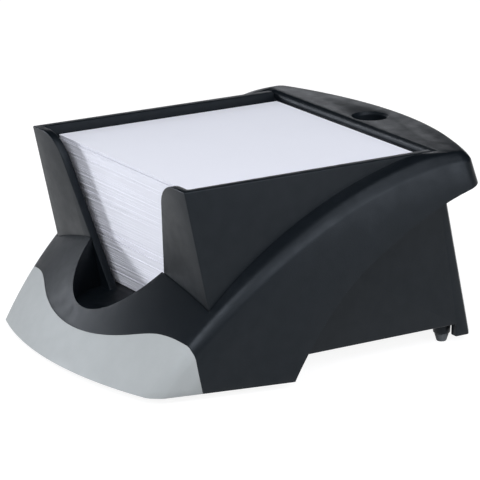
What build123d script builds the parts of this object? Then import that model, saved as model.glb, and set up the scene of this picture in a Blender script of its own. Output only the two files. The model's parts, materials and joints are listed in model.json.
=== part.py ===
from build123d import *
import os
from math import cos, pi, radians, sin, sqrt, tan

os.makedirs("parts", exist_ok=True)

# Driving dimensions, in millimetres and degrees.
# X is to the right, Y to the rear, Z up; the table is at zero and the origin is under the middle of the box.
box_height = 70.8
lip_height = 3.0
lean = 12.5
overrun = 6.0
fit = 0.15

# The sheets and the room round them
note_size = 90.0
note_room_side = 3.0
note_room_front = 3.7
note_room_rear = 0.9
note_seat = 0.2
note_drop = 2.7
pack_count = 10
pack_stagger = 0.5
pack_turn_share = 0.39
top_sheets_height = 1.0

# The leaning tray
tray_wall = 3.1
tray_setback = 21.75
rear_wall = 2.4
rear_wall_radius = 84.5
partition = 2.5
floor_top = 17.5
floor_thickness = 2.5
panel_bottom = 7.5
rear_leg = 5.5
cheek_gap = 71.2
cheek_slant = 17.7
cheek_shoulder = 11.5
rib = 1.6

# The pen hole and its well
pen_radius = 5.6
pen_room = 1.4
pen_guide_wall = 1.1
pen_guide_length = 9.0
pen_rim = 1.0
pen_floor = 27.5

# The arched shell: a dome turned about an upright axis, cut by the flanks, the deck and the rear skirt
shell_wall = 2.5
lip_radius = 148.0
deck_radius = 62.7
dome_radius = 158.5
deck_margin_front = 8.3
deck_margin_middle = 5.0
deck_margin_rear = 7.7
flare_front = -10.8
flare_middle = 4.5
flare_rear = 13.7
flank_front = 15.0
flank_middle = 60.8
deck_bow = 13.6
deck_corner_radius = 6.0
deck_front_radius = 2.0
skirt_room = 2.1
edge_bevel = 2.4
edge_ease = 0.65
crease_radius = 15.0
scoop_radius = 25.3
scoop_setback = 37.5
scoop_wall = 1.8

# Lower edge of an arm seen from the side, as shares of the box's length from the lip and of its height
arm_edge_shares = (
    (0.37, -0.04),
    (0.454, 0.27),
    (0.533, 0.46),
    (0.634, 0.617),
    (0.763, 0.764),
    (0.86, 0.835),
    (1.0, 0.885),
)

# The grey cover on the lip; its rear edge at lip height, as shares of its half width and of its depth
trim_thickness = 1.3
trim_gap = 0.12
trim_margin = 6.9
trim_depth = 33.0
trim_edge_shares = (
    (0.0, 0.312),
    (0.235, 0.357),
    (0.488, 0.511),
    (0.69, 0.685),
    (0.87, 0.768),
    (1.0, 0.812),
)

# Rubber tips on their pegs
foot_radius = 2.6
foot_tip_radius = 1.7
foot_stem_radius = 1.3
foot_stem_length = 4.0
peg_radius = 3.0
peg_draft = 3.0
rear_foot_margin = 7.1
rear_foot_inset = 23.7
front_foot_margin = 11.1
front_foot_inset = 22.5

# Places worked out from the sizes above
lean_slope = tan(radians(lean))
lean_axis = (0, -sin(radians(lean)), cos(radians(lean)))
lean_run = (box_height - lip_height) * lean_slope
compartment_length = note_room_front + note_size + note_room_rear
pocket_half = pen_radius + pen_room
well_length = 2 * pocket_half
box_length = tray_setback + tray_wall + compartment_length + partition + well_length + rear_wall + lean_run
lip_front = -box_length / 2
box_rear = box_length / 2

# These stand at rim height; the lean carries them down and to the rear
tray_half = note_size / 2 + note_room_side + tray_wall
tray_front = lip_front + tray_setback
compartment_front = tray_front + tray_wall
compartment_rear = compartment_front + compartment_length
partition_rear = compartment_rear + partition
pen_middle = partition_rear + pocket_half
tray_rear = partition_rear + well_length + rear_wall
note_middle = compartment_front + note_room_front + note_size / 2
stack_bottom = floor_top + note_seat
top_sheets_bottom = box_height - note_drop - top_sheets_height
stack_height = top_sheets_bottom - note_seat - stack_bottom

# The shell's own places; its widths follow the tray's
deck_half_front = tray_half + deck_margin_front
deck_half_middle = tray_half + deck_margin_middle
deck_half_rear = tray_half + deck_margin_rear
trim_half_width = tray_half + trim_margin
rear_foot_side = tray_half - rear_foot_margin
front_foot_side = tray_half - front_foot_margin
dome_axis = lip_front + lip_radius
deck_rear = tray_rear + skirt_room + shell_wall
deck_corner = deck_rear - deck_bow
deck_under = box_height - shell_wall
scoop_middle = lip_front + scoop_setback
floor_under = floor_top - floor_thickness
reach = 2 * box_length


def block(x_low, x_high, y_low, y_high, z_low, z_high):
    """A box between two corners."""
    plan = Pos((x_low + x_high) / 2, (y_low + y_high) / 2, z_low) * Rectangle(x_high - x_low, y_high - y_low)
    return extrude(plan, z_high - z_low)


def plan_box(half, y_low, y_high):
    """A rectangle seen from above, even about the middle."""
    return Pos(0, (y_low + y_high) / 2) * Rectangle(2 * half, y_high - y_low)


def leaning(plan, low, high):
    """Carry a plan drawn at rim height along the lean, between two heights."""
    start = Pos(0, (box_height - low) * lean_slope, low) * plan
    return extrude(start, (high - low) / cos(radians(lean)), dir=lean_axis)


# The leaning tray
def tray_plan(grow):
    """The tray's outline at rim height: straight front and sides, a bowed rear wall."""
    half = tray_half + grow
    front = tray_front - grow
    bow_middle = tray_rear - rear_wall_radius
    corner = bow_middle + sqrt((rear_wall_radius + grow) ** 2 - half**2)
    sides = Polyline((-half, corner), (-half, front), (half, front), (half, corner))
    bow = ThreePointArc((half, corner), (0, tray_rear + grow), (-half, corner))
    return make_face(sides + bow)


def compartment_plan():
    return plan_box(tray_half - tray_wall, compartment_front, compartment_rear)


def well_plan():
    """The space behind the notes, with a rib on each side of the pen's pocket."""
    space = tray_plan(-rear_wall) & plan_box(reach, partition_rear, reach)
    rib_plan = Pos(pocket_half + rib / 2, partition_rear) * Rectangle(rib, reach)
    return space - rib_plan - mirror(rib_plan, Plane.YZ)


def pocket_plan():
    """The pen's own part of that space, between the ribs."""
    return tray_plan(-rear_wall) & plan_box(pocket_half, partition_rear, reach)


def front_gap():
    """The opening between the cheeks, with the cheeks' shoulders rounded."""
    half = cheek_gap / 2
    slant_run = (box_height - floor_top) * tan(radians(cheek_slant))
    outline = Polyline(
        (half, box_height),
        (reach, box_height),
        (reach, floor_top),
        (half - slant_run, floor_top),
        close=True,
    )
    cheek = make_face(outline)
    shoulder = cheek.vertices().group_by(Axis.Y)[-1].sort_by(Axis.X)[0]
    cheek = fillet(shoulder, cheek_shoulder)
    cheeks = cheek + mirror(cheek, Plane.YZ)
    height = box_height + overrun - floor_top
    window = Pos(0, floor_top + height / 2) * Rectangle(reach, height)
    return Pos(0, compartment_front + lean_run) * extrude(Plane.XZ * (window - cheeks), reach)


def foot_places(side, y):
    return [Pos(-side, y), Pos(side, y)]


def peg(top, draft):
    """A peg from the shell's bottom edge up, wider with its draft, with a hole for the tip's stem."""
    body = extrude(Pos(0, 0, lip_height) * Circle(peg_radius), top - lip_height, taper=-draft)
    hole_length = foot_stem_length + fit
    hole = Pos(0, 0, lip_height + hole_length / 2) * Cylinder(foot_stem_radius, hole_length)
    return body, hole


def make_note_tray():
    tray = leaning(tray_plan(0), lip_height, box_height)
    tray -= leaning(compartment_plan(), floor_top, box_height + overrun)
    tray -= leaning(well_plan(), floor_top, box_height + overrun)
    tray -= leaning(tray_plan(-tray_wall), lip_height - overrun, floor_under)
    # The floor steps up under the pen, open from below
    tray += leaning(pocket_plan(), floor_under, pen_floor)
    tray -= leaning(pocket_plan(), 0, pen_floor - floor_thickness)
    tray -= front_gap()
    # Under the deck the walls stop below it
    behind = plan_box(reach, compartment_rear, reach)
    tray -= leaning(behind, deck_under, box_height + overrun)
    # Only the rear wall and its corners reach down to the table
    leg_front = box_rear - rear_wall_radius + sqrt(rear_wall_radius**2 - tray_half**2) - rear_leg
    tray -= block(-reach, reach, -reach, leg_front, 0, panel_bottom)
    # The floor runs forward under the finger scoop
    tongue = Pos(0, scoop_middle, floor_under) * extrude(Circle(scoop_radius + scoop_wall), floor_thickness)
    tongue &= block(-reach, reach, -reach, scoop_middle, floor_under, floor_top)
    bridge = block(-scoop_radius, scoop_radius, scoop_middle, 0, floor_under, floor_top)
    tray += (tongue + bridge) & envelope(shell_wall + fit, lip_height)
    body, hole = peg(floor_under, peg_draft)
    for place in foot_places(rear_foot_side, box_rear - rear_foot_inset):
        tray += place * body
        tray -= place * hole
    return tray


# The arched shell
def dome(inset, bottom):
    """The crowned top: an arc through the lip and the deck's crease, turned about an upright axis."""
    chord_r = lip_radius - deck_radius
    chord_z = box_height - lip_height
    chord = sqrt(chord_r**2 + chord_z**2)
    middle_r = (lip_radius + deck_radius) / 2
    middle_z = (lip_height + box_height) / 2
    depth = sqrt(dome_radius**2 - chord**2 / 4)
    ball = Pos(middle_r - depth * chord_z / chord, middle_z - depth * chord_r / chord)
    height = box_height - inset - bottom
    slab = Pos(reach / 2, bottom + height / 2) * Rectangle(reach, height)
    profile = ball * Circle(dome_radius - inset) & slab
    crease = profile.vertices().group_by(Axis.Y)[-1].sort_by(Axis.X)[-1]
    profile = fillet(crease, crease_radius - inset)
    return Pos(0, dome_axis) * revolve(Plane.XZ * profile, Axis.Z)


def flank_plan(height, inset):
    """The flanks and the rear skirt cut at one height; they flare as they go down."""
    drop = box_height - height
    front = deck_half_front + drop * tan(radians(flare_front)) - inset
    middle = deck_half_middle + drop * tan(radians(flare_middle)) - inset
    rear = deck_half_rear + drop * tan(radians(flare_rear)) - inset
    back = drop * lean_slope - inset
    front_y = lip_front - flank_front
    middle_y = lip_front + flank_middle
    right = ThreePointArc((front, front_y), (middle, middle_y), (rear, deck_corner + back))
    bow = ThreePointArc((rear, deck_corner + back), (0, deck_rear + back), (-rear, deck_corner + back))
    left = ThreePointArc((-rear, deck_corner + back), (-middle, middle_y), (-front, front_y))
    nose = Line((-front, front_y), (front, front_y))
    plan = make_face(right + bow + left + nose)
    corners = plan.vertices().group_by(Axis.Y)[-1]
    return Pos(0, 0, height) * fillet(corners, deck_corner_radius)


def envelope(inset, bottom):
    """The shell's form with sharp edges, or the same form set in by a wall."""
    low = flank_plan(lip_height - overrun, inset)
    high = flank_plan(box_height + overrun, inset)
    return loft([low, high], ruled=True) & dome(inset, bottom)


def soft_edges(form, top):
    """The ridges over the flanks and the deck's outer edge."""
    soft = []
    for edge in form.edges():
        middle = edge.center()
        crease = edge.geom_type == GeomType.CIRCLE and middle.Y < deck_corner
        ridge = middle.Z > lip_height + fit and middle.Y < deck_corner and abs(middle.X) > tray_half / 2
        rim = middle.Z > top - fit
        if (ridge or rim) and not crease:
            soft.append(edge)
    return soft


def make_outer_form():
    """The shell's form with those edges bevelled and the bevels eased."""
    form = envelope(0, lip_height)
    bevelled = chamfer(soft_edges(form, box_height), edge_bevel)
    fresh = new_edges(form, combined=bevelled)
    return chamfer([edge for edge in fresh if edge.center().Z > lip_height + fit], edge_ease)


def make_trim_recess():
    """What the cover lies on: the form set in by the cover's thickness, bevelled half as much."""
    form = envelope(trim_thickness, lip_height - overrun)
    return chamfer(soft_edges(form, box_height - trim_thickness), edge_bevel / 2)


def arm_cut():
    """What the arched arms leave open below them, seen from the side."""
    rise = box_height - lip_height
    points = [(lip_front + s * box_length, lip_height + t * rise) for s, t in arm_edge_shares]
    first, last = points[0], points[-1]
    edge = Spline(*points)
    rest = Polyline(last, (reach, last[1]), (reach, first[1]), first)
    return extrude(Plane.YZ * make_face(edge + rest), reach, both=True)


def scoop(radius, low):
    return Pos(0, scoop_middle, low) * extrude(Circle(radius), box_height)


def trim_region(gap):
    """Everything in front of the cover's rear edge, which leans as the tray does."""
    right = [(s * trim_half_width, lip_front + t * trim_depth - gap) for s, t in trim_edge_shares]
    left = [(-x, y) for x, y in reversed(right[1:])]
    end_x, end_y = right[-1]
    edge = Spline(*left, *right)
    far = [(reach, end_y), (reach, -reach), (-reach, -reach), (-reach, end_y)]
    rest = Polyline((end_x, end_y), *far, (-end_x, end_y))
    return leaning(Pos(0, -lean_run) * make_face(edge + rest), 0, box_height)


def pen_rod(radius, above, below):
    """A round rod on the pen's leaning axis, measured from the deck."""
    start = Vector(0, pen_middle, box_height) + above * Vector(*lean_axis)
    return extrude(Plane(start, z_dir=lean_axis) * Circle(radius), -above - below)


def front_room():
    """Room for the front of the tray, open above the notes; the deck's edge behind them is rounded."""
    top = box_height + overrun
    front = tray_front - fit
    outline = Polyline(
        (front + box_height * lean_slope, 0),
        (front - overrun * lean_slope, top),
        (reach, top),
        (reach, box_height),
        (compartment_rear, box_height),
        (compartment_rear + box_height * lean_slope, 0),
        close=True,
    )
    room = make_face(outline)
    edge = room.vertices().sort_by_distance((compartment_rear, box_height, 0))[0]
    return extrude(Plane.YZ * fillet(edge, deck_front_radius), tray_half + fit, both=True)


def make_outer_shell(outer, recess):
    shell = outer - envelope(shell_wall, lip_height - overrun)
    # A curb round the finger scoop goes down to the tray's floor
    curb = (scoop(scoop_radius + scoop_wall, floor_top) - scoop(scoop_radius, floor_top)) & outer
    curb &= block(-reach, reach, -reach, scoop_middle, floor_top, box_height)
    shell += curb
    shell -= scoop(scoop_radius, floor_top)
    # Room for the tray: open above the notes, closed by the deck behind them
    shell -= front_room()
    shell -= leaning(tray_plan(fit), 0, deck_under)
    shell -= arm_cut()
    # A guide for the pen hangs below the deck
    guide = pen_rod(pen_radius + pen_guide_wall, 0, shell_wall + pen_guide_length)
    shell += guide & block(-reach, reach, 0, reach, 0, deck_under)
    shell -= pen_rod(pen_radius, overrun, box_height)
    mouth = pen_radius + pen_rim
    shell -= Pos(0, pen_middle, box_height - mouth / 2) * Cone(0, mouth, mouth)
    shell -= (outer - recess) & trim_region(0)
    body, hole = peg(box_height, 0)
    for place in foot_places(front_foot_side, lip_front + front_foot_inset):
        shell += (place * body) & recess
        shell -= place * hole
    return shell


def make_front_trim(outer, recess):
    return (outer - recess) & trim_region(trim_gap)


# Feet
def make_foot():
    """A rubber tip: a rounded cone under the peg and a stem in its hole."""
    stem_top = lip_height + foot_stem_length
    outline = Polyline(
        (0, 0),
        (foot_tip_radius, 0),
        (foot_radius, lip_height),
        (foot_stem_radius, lip_height),
        (foot_stem_radius, stem_top),
        (0, stem_top),
        close=True,
    )
    return revolve(Plane.XZ * make_face(outline), Axis.Z)


# Notes
def make_notes(low, height, shift_x, shift_y):
    plan = Pos(shift_x, note_middle + shift_y) * Rectangle(note_size, note_size)
    return leaning(plan, low, low + height)


def make_note_packs():
    """Packs of sheets, each a little out of line with the one below."""
    thickness = stack_height / pack_count
    packs = []
    for number in range(pack_count):
        turn = 2 * pi * pack_turn_share * number
        low = stack_bottom + number * thickness
        packs.append(make_notes(low, thickness, pack_stagger * sin(turn), pack_stagger * cos(turn)))
    return packs


outer_form = make_outer_form()
trim_recess = make_trim_recess()

pieces = {
    "outer_shell": make_outer_shell(outer_form, trim_recess),
    "note_tray": make_note_tray(),
    "front_trim": make_front_trim(outer_form, trim_recess),
}
foot = make_foot()
for name, places in {
    "foot_front": foot_places(front_foot_side, lip_front + front_foot_inset),
    "foot_rear": foot_places(rear_foot_side, box_rear - rear_foot_inset),
}.items():
    for hand, place in zip(("left", "right"), places):
        pieces[f"{name}_{hand}"] = place * foot
for number, pack in enumerate(make_note_packs(), start=1):
    pieces[f"note_pack_{number:02d}"] = pack
pieces["top_sheets"] = make_notes(top_sheets_bottom, top_sheets_height, 0, 0)

for name, piece in pieces.items():
    export_step(piece, f"parts/{name}.step")
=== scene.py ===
"""Finishes a desk memo box: moulded shell and tray, grey cover, rubber tips and loose notes."""

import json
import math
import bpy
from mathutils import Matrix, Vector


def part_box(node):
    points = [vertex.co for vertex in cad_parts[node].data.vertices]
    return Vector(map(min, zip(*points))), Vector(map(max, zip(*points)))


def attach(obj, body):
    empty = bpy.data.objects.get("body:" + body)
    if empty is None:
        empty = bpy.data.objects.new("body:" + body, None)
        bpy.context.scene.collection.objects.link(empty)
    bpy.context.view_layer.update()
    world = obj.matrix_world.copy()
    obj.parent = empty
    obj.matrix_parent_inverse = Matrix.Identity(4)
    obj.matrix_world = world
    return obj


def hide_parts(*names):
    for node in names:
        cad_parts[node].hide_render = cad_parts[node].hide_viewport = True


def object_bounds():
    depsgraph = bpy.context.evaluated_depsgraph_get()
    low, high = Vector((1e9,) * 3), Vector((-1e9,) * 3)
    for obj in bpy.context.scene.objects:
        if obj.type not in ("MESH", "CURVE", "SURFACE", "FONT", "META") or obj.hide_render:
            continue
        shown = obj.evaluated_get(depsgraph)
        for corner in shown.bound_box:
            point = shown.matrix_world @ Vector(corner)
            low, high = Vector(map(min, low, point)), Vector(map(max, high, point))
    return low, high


bl_info = {
    "name": "Memo Box Finish",
    "version": (1, 0, 0),
    "blender": (4, 5, 0),
    "location": "View3D > Sidebar > Memo Box",
    "description": "Finishes the memo box's mouldings, lays its loose notes and sets up the studio",
    "category": "Object",
}

import bmesh
import bpy
from mathutils import Vector

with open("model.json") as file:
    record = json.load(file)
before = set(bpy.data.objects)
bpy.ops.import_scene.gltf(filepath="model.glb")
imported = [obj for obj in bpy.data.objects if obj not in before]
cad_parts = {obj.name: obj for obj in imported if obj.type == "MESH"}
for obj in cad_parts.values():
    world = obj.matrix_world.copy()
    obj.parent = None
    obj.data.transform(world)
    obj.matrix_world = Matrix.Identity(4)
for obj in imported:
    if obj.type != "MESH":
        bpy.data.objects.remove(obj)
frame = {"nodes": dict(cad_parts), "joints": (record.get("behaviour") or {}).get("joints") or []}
cad_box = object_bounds()

MILLIMETRE = 0.001
PACKS = sorted(name for name in frame["nodes"] if name.startswith("note_pack"))
FEET = sorted(name for name in frame["nodes"] if name.startswith("foot"))
LIFT_AXIS = Vector(frame["joints"][0]["axis"])
# Their cut edges follow curves in short steps, which limit the rounding
CURVE_EDGED = ("outer_shell", "front_trim")
# How untidy the stack and the last sheets lie, as shares of the slip, recess and turn
STACK_UNTIDINESS = 1.0
TOP_UNTIDINESS = 0.6
CHARCOAL_ROUGHNESS = 0.4
SATIN_ROUGHNESS = 0.5
# Each softbox's azimuth and elevation in degrees, then its distance, width and height in metres
SOFTBOXES = {
    "front": ((35, 35), 1.0, (0.5, 0.5)),
    "low_front": ((-40, 9), 0.9, (0.22, 0.2)),
    "left": ((-64, 20), 0.9, (0.2, 0.2)),
    "rear_left": ((-111, 10), 0.9, (0.75, 0.25)),
    "right": ((90, 35), 1.0, (0.5, 0.5)),
    "rear_right": ((119, 20), 0.9, (0.5, 0.45)),
    "high": ((120, 65), 0.9, (0.5, 0.5)),
}
# Width in millimetres of the frame that the lens is given for
FRAME_WIDTH = 36.0
# Sockets that share their names and are found by number
MIX_FACTOR, MIX_FIRST, MIX_SECOND = 0, 6, 7
MIX_RESULT = 2
RANDOM_VECTOR_MIN, RANDOM_VECTOR_MAX, RANDOM_FLOAT_MIN, RANDOM_FLOAT_MAX = 0, 1, 2, 3
RANDOM_VECTOR, RANDOM_FLOAT = 0, 1


# Colours
def linear(hex_colour):
    """Turns an sRGB hex colour into linear red, green, blue and alpha."""
    channels = [int(hex_colour[i : i + 2], 16) / 255 for i in (1, 3, 5)]
    curve = [c / 12.92 if c <= 0.04045 else ((c + 0.055) / 1.055) ** 2.4 for c in channels]
    return (*curve, 1.0)


def toned(colour, gain):
    """A linear colour made lighter or darker."""
    return tuple(min(1.0, gain * c) for c in colour[:3]) + (1.0,)


# What a user would change
def colour_property(name, description, hex_colour):
    return bpy.props.FloatVectorProperty(
        name=name,
        description=description,
        subtype="COLOR",
        size=4,
        min=0,
        max=1,
        default=linear(hex_colour),
    )


def length_property(name, description, millimetres):
    return bpy.props.FloatProperty(
        name=name,
        description=description,
        unit="LENGTH",
        min=0,
        precision=5,
        default=millimetres * MILLIMETRE,
    )


def angle_property(name, description, degrees):
    return bpy.props.FloatProperty(
        name=name, description=description, subtype="ANGLE", default=math.radians(degrees)
    )


def power_property(name, description, watts):
    return bpy.props.FloatProperty(
        name=name, description=description, unit="POWER", min=0, default=watts
    )


class MemoBoxFinish(bpy.types.PropertyGroup):
    """Colours and edges of the mouldings."""

    charcoal: colour_property("Charcoal", "Colour of the shell and the tray", "#090e12")
    charcoal_worn: colour_property("Charcoal, rubbed", "Colour where hands have polished it", "#101418")
    trim_grey: colour_property("Trim grey", "Colour of the front cover", "#a6a9a8")
    rubber: colour_property("Rubber", "Colour of the feet's tips", "#5d6164")
    shell_edge: length_property("Shell edge", "Most that the shell's stepped edges are rounded", 0.35)
    tray_edge: length_property("Tray edge", "Rounding of the tray's edges", 0.45)
    trim_edge: length_property("Trim edge", "Most that the cover's stepped edge is rounded", 0.3)
    foot_edge: length_property("Foot edge", "Rounding of a rubber tip's edges", 0.3)
    grain: length_property("Grain", "Width of the moulded texture's bumps, coarse enough to show", 0.5)


class MemoBoxNotes(bpy.types.PropertyGroup):
    """The loose sheets."""

    paper: colour_property("Paper", "Colour of the sheets", "#f0f0f6")
    sheets: bpy.props.IntProperty(
        name="Sheets", description="How many layers the stack is drawn with", min=10, max=600, default=180
    )
    top_sheets: bpy.props.IntProperty(
        name="Top sheets", description="How many loose sheets lie on top", min=1, max=20, default=6
    )
    size: length_property("Sheet size", "Side of a square sheet", 90.0)
    slip: length_property("Slip", "How far a sheet slides out of line", 0.03)
    recess: length_property("Recess", "How far back an askew sheet's left end lies", 0.8)
    turn: angle_property("Turn", "How far any sheet swings about its right end", 0.16)
    seed: bpy.props.IntProperty(name="Seed", description="Picks another fall of the sheets", default=4)


class MemoBoxStudio(bpy.types.PropertyGroup):
    """Camera and light."""

    azimuth: angle_property("Azimuth", "Turn of the camera from the front", 57.866)
    elevation: angle_property("Elevation", "Height of the camera as an angle", 16.558)
    distance: length_property("Distance", "From the camera to its target", 1038.58)
    target_height: length_property("Target height", "Height of the camera's target", 33.83)
    target_front: length_property("Target front", "How far the camera's target lies to the front", 1.83)
    lens: bpy.props.FloatProperty(
        name="Lens", description="Focal length in millimetres on a 36 mm frame", min=1, default=225.0
    )
    front: power_property("Front light", "Power of the main softbox, in front and above", 6.2)
    low_front: power_property("Low front light", "Power of the softbox that fills the notes' front", 3.75)
    left: power_property("Left light", "Power of the low softbox that glances along the front", 1.35)
    rear_left: power_property("Rear left light", "Power of the low softbox that the deck mirrors", 0.63)
    right: power_property("Right light", "Power of the softbox on the right", 3.6)
    rear_right: power_property("Rear right light", "Power of the softbox that the arm mirrors", 2.6)
    high: power_property("High light", "Power of the softbox above and behind", 1.8)
    ambient: bpy.props.FloatProperty(
        name="Ambient", description="Strength of the light all round", min=0, default=0.0
    )


# Nodes
def add_node(tree, kind, sockets=None, **settings):
    """Adds a node. Settings are its properties, sockets its inputs' values or the outputs that feed them."""
    node = tree.nodes.new(kind)
    for name, value in settings.items():
        setattr(node, name, value)
    for name, value in (sockets or {}).items():
        if isinstance(value, bpy.types.NodeSocket):
            tree.links.new(value, node.inputs[name])
        else:
            node.inputs[name].default_value = value
    return node


def new_material(name):
    material = bpy.data.materials.new(name)
    material.use_nodes = True
    material.node_tree.nodes.clear()
    return material, material.node_tree


# Materials
def moulded_abs(name, colour, rubbed, grain, roughness):
    """ABS from a spark-eroded mould: even, with a fine matt grain that breaks up the highlights.

    Faint patches differ a little in colour and gloss, as on handled plastic.
    """
    patch_size = 5 * MILLIMETRE
    gloss_spread = 0.05
    grain_depth = grain / 4
    material, tree = new_material(name)
    place = add_node(tree, "ShaderNodeTexCoord").outputs["Object"]
    drift = add_node(
        tree,
        "ShaderNodeTexNoise",
        {"Vector": place, "Scale": 1 / patch_size, "Detail": 3.0, "Roughness": 0.55},
    )
    patch = add_node(
        tree, "ShaderNodeMapRange", {"Value": drift.outputs["Fac"], "From Min": 0.3, "From Max": 0.7}
    ).outputs["Result"]
    tone = add_node(
        tree,
        "ShaderNodeMix",
        {MIX_FACTOR: patch, MIX_FIRST: colour, MIX_SECOND: rubbed},
        data_type="RGBA",
    )
    gloss = add_node(
        tree,
        "ShaderNodeMapRange",
        {"Value": patch, "To Min": roughness + gloss_spread, "To Max": roughness - gloss_spread},
    )
    pits = add_node(tree, "ShaderNodeTexNoise", {"Vector": place, "Scale": 1 / grain, "Detail": 2.0})
    bump = add_node(
        tree, "ShaderNodeBump", {"Height": pits.outputs["Fac"], "Strength": 0.22, "Distance": grain_depth}
    )
    shader = add_node(
        tree,
        "ShaderNodeBsdfPrincipled",
        {
            "Base Color": tone.outputs[MIX_RESULT],
            "Roughness": gloss.outputs["Result"],
            "Normal": bump.outputs["Normal"],
            "IOR": 1.5,
            "Specular IOR Level": 0.24,
            "Specular Tint": linear("#eef6ff"),
        },
    )
    add_node(tree, "ShaderNodeOutputMaterial", {"Surface": shader.outputs["BSDF"]})
    return material


def loose_paper(name, colour):
    """Uncoated white note paper: matt, faintly blue, with short fibres that show only close by."""
    fibre_size = 0.7 * MILLIMETRE
    fibre_depth = fibre_size / 6
    cloud_size = 25 * MILLIMETRE
    cloud_shade = 0.97
    material, tree = new_material(name)
    place = add_node(tree, "ShaderNodeTexCoord").outputs["Object"]
    fibres = add_node(
        tree, "ShaderNodeTexNoise", {"Vector": place, "Scale": 1 / fibre_size, "Detail": 4.0}
    )
    cloud = add_node(tree, "ShaderNodeTexNoise", {"Vector": place, "Scale": 1 / cloud_size, "Detail": 2.0})
    tone = add_node(
        tree,
        "ShaderNodeMix",
        {MIX_FACTOR: cloud.outputs["Fac"], MIX_FIRST: colour, MIX_SECOND: toned(colour, cloud_shade)},
        data_type="RGBA",
    )
    bump = add_node(
        tree, "ShaderNodeBump", {"Height": fibres.outputs["Fac"], "Strength": 0.06, "Distance": fibre_depth}
    )
    shader = add_node(
        tree,
        "ShaderNodeBsdfPrincipled",
        {
            "Base Color": tone.outputs[MIX_RESULT],
            "Roughness": 0.85,
            "Normal": bump.outputs["Normal"],
            "IOR": 1.5,
            "Specular IOR Level": 0.25,
        },
    )
    add_node(tree, "ShaderNodeOutputMaterial", {"Surface": shader.outputs["BSDF"]})
    return material


def soft_rubber(name, colour):
    """Moulded rubber: dull, with a dusty bloom in soft patches."""
    bloom_size = 1.2 * MILLIMETRE
    bloom_depth = bloom_size / 10
    bloom_gain = 1.25
    material, tree = new_material(name)
    place = add_node(tree, "ShaderNodeTexCoord").outputs["Object"]
    bloom = add_node(tree, "ShaderNodeTexNoise", {"Vector": place, "Scale": 1 / bloom_size, "Detail": 3.0})
    tone = add_node(
        tree,
        "ShaderNodeMix",
        {MIX_FACTOR: bloom.outputs["Fac"], MIX_FIRST: colour, MIX_SECOND: toned(colour, bloom_gain)},
        data_type="RGBA",
    )
    bump = add_node(
        tree, "ShaderNodeBump", {"Height": bloom.outputs["Fac"], "Strength": 0.15, "Distance": bloom_depth}
    )
    shader = add_node(
        tree,
        "ShaderNodeBsdfPrincipled",
        {
            "Base Color": tone.outputs[MIX_RESULT],
            "Roughness": 0.7,
            "Normal": bump.outputs["Normal"],
            "IOR": 1.52,
        },
    )
    add_node(tree, "ShaderNodeOutputMaterial", {"Surface": shader.outputs["BSDF"]})
    return material


def charcoal(finish):
    """The one charcoal that the shell and the tray share."""
    known = bpy.data.materials.get("moulded_charcoal_abs")
    return known or moulded_abs(
        "moulded_charcoal_abs",
        tuple(finish.charcoal),
        tuple(finish.charcoal_worn),
        finish.grain,
        CHARCOAL_ROUGHNESS,
    )


def note_paper(notes):
    """The one paper that all the sheets share."""
    known = bpy.data.materials.get("uncoated_note_paper")
    return known or loose_paper("uncoated_note_paper", tuple(notes.paper))


# Meshes
def add_piece(name, mesh, material):
    piece = bpy.data.objects.new(name, mesh)
    bpy.context.scene.collection.objects.link(piece)
    mesh.materials.clear()
    mesh.materials.append(material)
    return piece


def evaluated_mesh(piece):
    """The mesh of a piece with its modifiers applied."""
    bpy.context.view_layer.update()
    return bpy.data.meshes.new_from_object(piece.evaluated_get(bpy.context.evaluated_depsgraph_get()))


def rounded_copy(node, name, edge, material):
    """A copy of a moulding's mesh with its sharp edges rounded."""
    merge_distance = 0.06 * MILLIMETRE
    flat_angle = math.radians(0.4)
    rounded_angle = math.radians(38)
    crease_angle = math.radians(40)
    mesh = bpy.data.meshes.new(name)
    shape = bmesh.new()
    shape.from_mesh(frame["nodes"][node].data)
    bmesh.ops.remove_doubles(shape, verts=shape.verts, dist=merge_distance)
    bmesh.ops.dissolve_limit(shape, angle_limit=flat_angle, verts=shape.verts, edges=shape.edges)
    shape.to_mesh(mesh)
    shape.free()
    piece = add_piece(name, mesh, material)
    bevel = piece.modifiers.new("edge", "BEVEL")
    bevel.width = edge
    bevel.segments = 3
    bevel.limit_method = "ANGLE"
    bevel.angle_limit = rounded_angle
    bevel.use_clamp_overlap = node in CURVE_EDGED
    bevel.miter_outer = "MITER_ARC"
    piece.data = evaluated_mesh(piece)
    piece.modifiers.clear()
    piece.data.polygons.foreach_set("use_smooth", [True] * len(piece.data.polygons))
    piece.data.set_sharp_from_angle(angle=crease_angle)
    bpy.data.meshes.remove(mesh)
    return piece


def finish_moulding(node, name, edge, material):
    piece = rounded_copy(node, name, edge, material)
    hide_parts(node)
    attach(piece, "base")
    return piece


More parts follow.
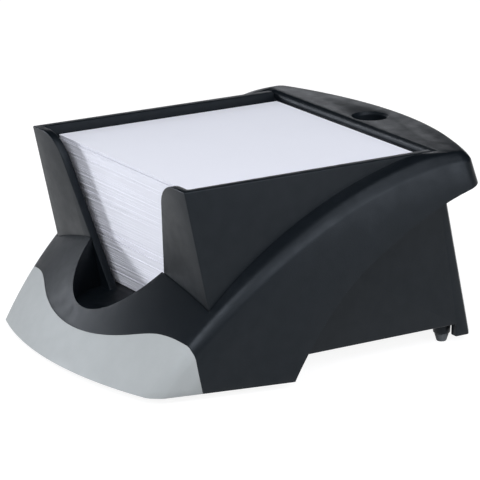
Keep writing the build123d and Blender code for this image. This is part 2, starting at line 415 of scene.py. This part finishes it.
def sheet_tree():
    """Square sheets on a leaning line, each a little out of place."""
    # Askew sheets lie by twos, and the power makes those that lie far back rare
    together = 2.0
    rarity = 3.0
    # In recesses: how far back they lie at the stack's foot, and how far forward the block sits
    foot_depth = 1.15
    forward_share = 0.4
    tree = bpy.data.node_groups.new("loose_sheets", "GeometryNodeTree")
    inputs = {
        "Count": "NodeSocketInt",
        "Size": "NodeSocketFloat",
        "Thickness": "NodeSocketFloat",
        "Start": "NodeSocketVector",
        "Step": "NodeSocketVector",
        "Slip": "NodeSocketFloat",
        "Recess": "NodeSocketFloat",
        "Turn": "NodeSocketFloat",
        "Seed": "NodeSocketInt",
        "Paper": "NodeSocketMaterial",
    }
    for name, kind in inputs.items():
        tree.interface.new_socket(name, in_out="INPUT", socket_type=kind)
    tree.interface.new_socket("Geometry", in_out="OUTPUT", socket_type="NodeSocketGeometry")
    given = add_node(tree, "NodeGroupInput").outputs
    line = add_node(
        tree,
        "GeometryNodeMeshLine",
        {"Count": given["Count"], "Start Location": given["Start"], "Offset": given["Step"]},
        mode="OFFSET",
    )
    # Every sheet slips a little to any side
    slip = add_node(
        tree,
        "FunctionNodeRandomValue",
        {
            RANDOM_VECTOR_MIN: (-1.0, -1.0, 0.0),
            RANDOM_VECTOR_MAX: (1.0, 1.0, 0.0),
            "Seed": given["Seed"],
        },
        data_type="FLOAT_VECTOR",
    ).outputs[RANDOM_VECTOR]
    slid = add_node(tree, "ShaderNodeVectorMath", {0: slip, "Scale": given["Slip"]}, operation="SCALE")
    # Some lie askew: the left end is further back and leaves a dark gap that closes to the right
    index = add_node(tree, "GeometryNodeInputIndex").outputs[0]
    pair = add_node(tree, "ShaderNodeMath", {0: index, 1: together}, operation="DIVIDE").outputs[0]
    luck_seed = add_node(tree, "ShaderNodeMath", {0: given["Seed"], 1: 1.0}, operation="ADD").outputs[0]
    luck = add_node(
        tree, "FunctionNodeRandomValue", {"ID": pair, "Seed": luck_seed}, data_type="FLOAT"
    ).outputs[RANDOM_FLOAT]
    rare = add_node(tree, "ShaderNodeMath", {0: luck, 1: rarity}, operation="POWER").outputs[0]
    most = add_node(tree, "ShaderNodeMath", {0: rare, 1: given["Recess"]}, operation="MULTIPLY").outputs[0]
    # Low in the stack they lie further back
    height = add_node(tree, "ShaderNodeMath", {0: index, 1: given["Count"]}, operation="DIVIDE").outputs[0]
    depth = add_node(tree, "ShaderNodeMath", {0: foot_depth, 1: height}, operation="SUBTRACT").outputs[0]
    askew = add_node(tree, "ShaderNodeMath", {0: most, 1: depth}, operation="MULTIPLY").outputs[0]
    # Every sheet swings a little about its right end
    swing_seed = add_node(tree, "ShaderNodeMath", {0: given["Seed"], 1: 2.0}, operation="ADD").outputs[0]
    swing = add_node(
        tree,
        "FunctionNodeRandomValue",
        {RANDOM_FLOAT_MIN: -1.0, RANDOM_FLOAT_MAX: 1.0, "Seed": swing_seed},
        data_type="FLOAT",
    ).outputs[RANDOM_FLOAT]
    reach = add_node(
        tree, "ShaderNodeMath", {0: given["Turn"], 1: given["Size"]}, operation="MULTIPLY"
    ).outputs[0]
    swung = add_node(tree, "ShaderNodeMath", {0: swing, 1: reach}, operation="MULTIPLY").outputs[0]
    back = add_node(tree, "ShaderNodeMath", {0: askew, 1: swung}, operation="ADD").outputs[0]
    # The middle of a sheet moves half as far as its left end
    half_back = add_node(tree, "ShaderNodeMath", {0: back, 1: 0.5}, operation="MULTIPLY").outputs[0]
    # The block sits a little forward, so that askew sheets stay clear of the wall behind
    forward = add_node(
        tree, "ShaderNodeMath", {0: given["Recess"], 1: forward_share}, operation="MULTIPLY"
    ).outputs[0]
    shift = add_node(tree, "ShaderNodeMath", {0: half_back, 1: forward}, operation="SUBTRACT")
    gap = add_node(tree, "ShaderNodeCombineXYZ", {"Y": shift.outputs[0]})
    away = add_node(tree, "ShaderNodeVectorMath", {0: slid.outputs[0], 1: gap.outputs[0]}, operation="ADD")
    placed = add_node(
        tree, "GeometryNodeSetPosition", {"Geometry": line.outputs[0], "Offset": away.outputs[0]}
    )
    reverse = add_node(tree, "ShaderNodeMath", {0: given["Size"], 1: -1.0}, operation="MULTIPLY").outputs[0]
    angle = add_node(tree, "ShaderNodeMath", {0: back, 1: reverse}, operation="DIVIDE")
    turned = add_node(tree, "ShaderNodeCombineXYZ", {"Z": angle.outputs[0]})
    size = add_node(
        tree, "ShaderNodeCombineXYZ", {"X": given["Size"], "Y": given["Size"], "Z": given["Thickness"]}
    )
    sheet = add_node(tree, "GeometryNodeMeshCube", {"Size": size.outputs[0]})
    spread = add_node(
        tree,
        "GeometryNodeInstanceOnPoints",
        {"Points": placed.outputs[0], "Instance": sheet.outputs[0], "Rotation": turned.outputs[0]},
    )
    real = add_node(tree, "GeometryNodeRealizeInstances", {"Geometry": spread.outputs[0]})
    paper = add_node(
        tree, "GeometryNodeSetMaterial", {"Geometry": real.outputs[0], "Material": given["Paper"]}
    )
    add_node(tree, "NodeGroupOutput", {"Geometry": paper.outputs[0]})
    return tree


def lay_sheets(name, values, material):
    """Runs the sheet tree with the given inputs and returns a plain mesh piece."""
    tree = bpy.data.node_groups.get("loose_sheets") or sheet_tree()
    piece = add_piece(name, bpy.data.meshes.new(name), material)
    modifier = piece.modifiers.new("sheets", "NODES")
    modifier.node_group = tree
    sockets = {item.name: item.identifier for item in tree.interface.items_tree if item.in_out == "INPUT"}
    for key, value in (values | {"Paper": material}).items():
        modifier[sockets[key]] = value
    empty = piece.data
    piece.data = evaluated_mesh(piece)
    piece.modifiers.clear()
    bpy.data.meshes.remove(empty)
    return piece


# Pieces
class MEMOBOX_OT_shell(bpy.types.Operator):
    """Round the arched shell's edges and give it its moulded finish"""

    bl_idname = "memobox.shell"
    bl_label = "Outer shell"

    def execute(self, context):
        finish = context.scene.memo_box_finish
        dark = charcoal(finish)
        finish_moulding("outer_shell", "arched_shell", finish.shell_edge, dark)
        return {"FINISHED"}


class MEMOBOX_OT_tray(bpy.types.Operator):
    """Round the leaning tray's edges and give it its moulded finish"""

    bl_idname = "memobox.tray"
    bl_label = "Note tray"

    def execute(self, context):
        finish = context.scene.memo_box_finish
        dark = charcoal(finish)
        finish_moulding("note_tray", "leaning_tray", finish.tray_edge, dark)
        return {"FINISHED"}


class MEMOBOX_OT_trim(bpy.types.Operator):
    """Round the grey front cover's edges and give it its satin finish"""

    bl_idname = "memobox.trim"
    bl_label = "Front trim"

    def execute(self, context):
        finish = context.scene.memo_box_finish
        grey = tuple(finish.trim_grey)
        rubbed_gain = 1.04
        rubbed = toned(grey, rubbed_gain)
        satin = moulded_abs("satin_grey_abs", grey, rubbed, finish.grain, SATIN_ROUGHNESS)
        finish_moulding("front_trim", "grey_cover", finish.trim_edge, satin)
        return {"FINISHED"}


class MEMOBOX_OT_feet(bpy.types.Operator):
    """Round the rubber tips under the pegs"""

    bl_idname = "memobox.feet"
    bl_label = "Feet"

    def execute(self, context):
        finish = context.scene.memo_box_finish
        rubber = soft_rubber("moulded_rubber", tuple(finish.rubber))
        for node in FEET:
            name = node.replace("foot", "rubber_tip")
            finish_moulding(node, name, finish.foot_edge, rubber)
        return {"FINISHED"}


class MEMOBOX_OT_notes(bpy.types.Operator):
    """Lay the stack of loose sheets in the tray, and the last few on top of it"""

    bl_idname = "memobox.notes"
    bl_label = "Notes"

    def lay(self, notes, name, nodes, count, body, untidiness):
        """Fills the space of some CAD nodes with sheets."""
        low = min(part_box(node)[0].z for node in nodes)
        high = max(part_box(node)[1].z for node in nodes)
        top_low, top_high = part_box("top_sheets")
        middle = (top_low + top_high) / 2
        lean = LIFT_AXIS.y / LIFT_AXIS.z
        pitch = (high - low) / count
        first = low + pitch / 2
        values = {
            "Count": count,
            "Size": notes.size,
            "Thickness": pitch,
            "Start": (0.0, middle.y + (first - middle.z) * lean, first),
            "Step": (0.0, pitch * lean, pitch),
            "Slip": notes.slip * untidiness,
            "Recess": notes.recess * untidiness,
            "Turn": notes.turn * untidiness,
            "Seed": notes.seed,
        }
        piece = lay_sheets(name, values, note_paper(notes))
        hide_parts(*nodes)
        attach(piece, body)

    def execute(self, context):
        notes = context.scene.memo_box_notes
        self.lay(notes, "note_sheets", PACKS, notes.sheets, "note_stack", STACK_UNTIDINESS)
        self.lay(notes, "last_sheets", ["top_sheets"], notes.top_sheets, "top_sheets", TOP_UNTIDINESS)
        return {"FINISHED"}


class MEMOBOX_OT_studio(bpy.types.Operator):
    """Set the white floor, the soft light and the camera"""

    bl_idname = "memobox.studio"
    bl_label = "Studio"

    def direction(self, azimuth, elevation):
        """From the box towards a bearing; azimuth zero is in front and turns to the box's right."""
        level = math.cos(elevation)
        return Vector((math.sin(azimuth) * level, -math.cos(azimuth) * level, math.sin(elevation)))

    def seen_directly(self, tree):
        """One for camera, glossy and transmission rays, and zero for the rest."""
        path = add_node(tree, "ShaderNodeLightPath").outputs
        first = add_node(
            tree,
            "ShaderNodeMath",
            {0: path["Is Camera Ray"], 1: path["Is Glossy Ray"]},
            operation="MAXIMUM",
        )
        return add_node(
            tree,
            "ShaderNodeMath",
            {0: first.outputs[0], 1: path["Is Transmission Ray"]},
            operation="MAXIMUM",
        ).outputs[0]

    def floor(self):
        """A floor that is white to the camera and keeps the box's soft shadow."""
        reach = 4.0
        glow_strength = 0.9
        floor_grey = linear("#898989")
        mesh = bpy.data.meshes.new("floor")
        corners = [(-reach, -reach, 0), (reach, -reach, 0), (reach, reach, 0), (-reach, reach, 0)]
        mesh.from_pydata(corners, [], [(0, 1, 2, 3)])
        material, tree = new_material("white_floor")
        seen = self.seen_directly(tree)
        strength = add_node(tree, "ShaderNodeMath", {0: seen, 1: glow_strength}, operation="MULTIPLY")
        glow = add_node(tree, "ShaderNodeEmission", {"Strength": strength.outputs[0]})
        lit = add_node(tree, "ShaderNodeBsdfDiffuse", {"Color": floor_grey})
        both = add_node(tree, "ShaderNodeAddShader", {0: glow.outputs[0], 1: lit.outputs[0]})
        add_node(tree, "ShaderNodeOutputMaterial", {"Surface": both.outputs[0]})
        add_piece("floor", mesh, material)

    def world(self, ambient):
        """The light all round, which is off unless a user turns it up."""
        world = bpy.data.worlds.new("white_room")
        world.use_nodes = True
        tree = world.node_tree
        tree.nodes.clear()
        room = add_node(tree, "ShaderNodeBackground", {"Color": linear("#f4f6ff"), "Strength": ambient})
        add_node(tree, "ShaderNodeOutputWorld", {"Surface": room.outputs[0]})
        bpy.context.scene.world = world

    def softbox(self, name, bearing, distance, size, power):
        """A soft rectangular lamp, aimed at the box from a bearing of azimuth and elevation in degrees."""
        lamp = bpy.data.lights.new(name, "AREA")
        lamp.shape = "RECTANGLE"
        lamp.size, lamp.size_y = size
        lamp.energy = power
        lamp.color = linear("#f6f9ff")[:3]
        light = bpy.data.objects.new(name, lamp)
        back = self.direction(*(math.radians(angle) for angle in bearing))
        light.location = Vector((0, 0, cad_box[1][2] / 2)) + distance * back
        light.rotation_euler = (-back).to_track_quat("-Z", "Y").to_euler()
        bpy.context.scene.collection.objects.link(light)

    def camera(self, studio):
        """A camera that looks at its target from the given bearing and distance."""
        lens = bpy.data.cameras.new("camera")
        lens.lens = studio.lens
        lens.sensor_width = FRAME_WIDTH
        target = Vector((0.0, -studio.target_front, studio.target_height))
        back = self.direction(studio.azimuth, studio.elevation)
        camera = bpy.data.objects.new("camera", lens)
        camera.location = target + studio.distance * back
        camera.rotation_euler = (-back).to_track_quat("-Z", "Y").to_euler()
        bpy.context.scene.collection.objects.link(camera)
        bpy.context.scene.camera = camera

    def execute(self, context):
        studio = context.scene.memo_box_studio
        self.floor()
        self.world(studio.ambient)
        for name, (bearing, distance, size) in SOFTBOXES.items():
            self.softbox(name, bearing, distance, size, getattr(studio, name))
        self.camera(studio)
        context.scene.view_settings.view_transform = "Standard"
        return {"FINISHED"}


GROUPS = {
    "memo_box_finish": MemoBoxFinish,
    "memo_box_notes": MemoBoxNotes,
    "memo_box_studio": MemoBoxStudio,
}
OPERATORS = (
    MEMOBOX_OT_shell,
    MEMOBOX_OT_tray,
    MEMOBOX_OT_trim,
    MEMOBOX_OT_feet,
    MEMOBOX_OT_notes,
    MEMOBOX_OT_studio,
)


class MEMOBOX_PT_panel(bpy.types.Panel):
    """Sizes, colours and pieces of the memo box"""

    bl_idname = "MEMOBOX_PT_panel"
    bl_label = "Memo Box"
    bl_space_type = "VIEW_3D"
    bl_region_type = "UI"
    bl_category = "Memo Box"

    def draw(self, context):
        for group_name, group in GROUPS.items():
            column = self.layout.box().column()
            for name in group.__annotations__:
                column.prop(getattr(context.scene, group_name), name)
        for operator in OPERATORS:
            self.layout.operator(operator.bl_idname)


def register():
    for name, group in GROUPS.items():
        bpy.utils.register_class(group)
        setattr(bpy.types.Scene, name, bpy.props.PointerProperty(type=group))
    for operator in OPERATORS:
        bpy.utils.register_class(operator)
    bpy.utils.register_class(MEMOBOX_PT_panel)


def unregister():
    bpy.utils.unregister_class(MEMOBOX_PT_panel)
    for operator in reversed(OPERATORS):
        bpy.utils.unregister_class(operator)
    for name, group in GROUPS.items():
        delattr(bpy.types.Scene, name)
        bpy.utils.unregister_class(group)


def main():
    register()
    bpy.ops.memobox.shell()
    bpy.ops.memobox.tray()
    bpy.ops.memobox.trim()
    bpy.ops.memobox.feet()
    bpy.ops.memobox.notes()
    bpy.ops.memobox.studio()


if __name__ == "__main__":
    main()
